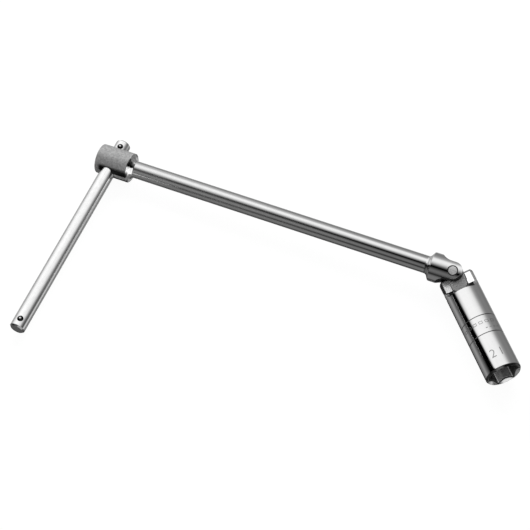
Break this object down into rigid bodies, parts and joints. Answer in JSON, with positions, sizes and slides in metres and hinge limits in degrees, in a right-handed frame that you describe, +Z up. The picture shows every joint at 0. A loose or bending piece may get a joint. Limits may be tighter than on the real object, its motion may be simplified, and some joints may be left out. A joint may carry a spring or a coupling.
{
  "type": "l-handle socket wrench",
  "caption": "Long round-shafted wrench with a sliding cross handle at one end and a deep hexagon socket on a crossed-pin joint at the other.",
  "frame": {"origin": "centre of the footprint, on the surface the tool lies on", "axes": "+X along the shaft's run over the ground, from the cross head to the joint; +Y from the handle's long end to its short end; +Z up"},
  "size_m": [0.3744, 0.1866, 0.0291],
  "materials": {
    "bright_chrome": "polished",
    "satin_steel": "satin",
    "bare_steel": "satin",
    "black_rubber": "matte"
  },
  "bodies": {
    "shaft": {"shaft": "bright_chrome", "cross_head": "satin_steel", "fork": "bright_chrome", "fork_rivet": "bare_steel"},
    "handle": {"sliding_handle": "bright_chrome", "detent_spring_upper": "bare_steel", "detent_spring_lower": "bare_steel"},
    "ball_upper": {"detent_ball_upper": "bare_steel"},
    "ball_lower": {"detent_ball_lower": "bare_steel"},
    "link": {"link": "bare_steel"},
    "socket": {"socket": "bright_chrome", "socket_rivet": "bare_steel", "plug_grip": "black_rubber"}
  },
  "joints": [
    {"name": "handle_slide", "type": "slide", "parent": "shaft", "child": "handle", "axis": [-0.0005, 0.9997, 0.0249], "range_m": [0, 0.1476]},
    {"name": "ball_upper_press", "type": "slide", "parent": "handle", "child": "ball_upper", "axis": [-0.1037, 0.0247, -0.9943], "range_m": [0, 0.0008], "stiffness_N_per_m": 1500, "springref_m": -0.001, "deforming": ["detent_spring_upper"]},
    {"name": "ball_lower_press", "type": "slide", "parent": "handle", "child": "ball_lower", "axis": [-0.1037, 0.0247, -0.9943], "range_m": [0, 0.0008], "stiffness_N_per_m": 1500, "springref_m": -0.001, "deforming": ["detent_spring_lower"]},
    {"name": "link_swing", "type": "hinge", "parent": "shaft", "child": "link", "pos_m": [0.11454, 0.07381, 0.01758], "axis": [-0.0169, -0.3815, 0.9242], "range_deg": [-4.4, 95.6]},
    {"name": "socket_tilt", "type": "hinge", "parent": "link", "child": "socket", "pos_m": [0.12455, 0.06443, 0.0139], "axis": [0.7095, 0.6467, 0.2799], "range_deg": [-39.3, 70.7]}
  ]
}
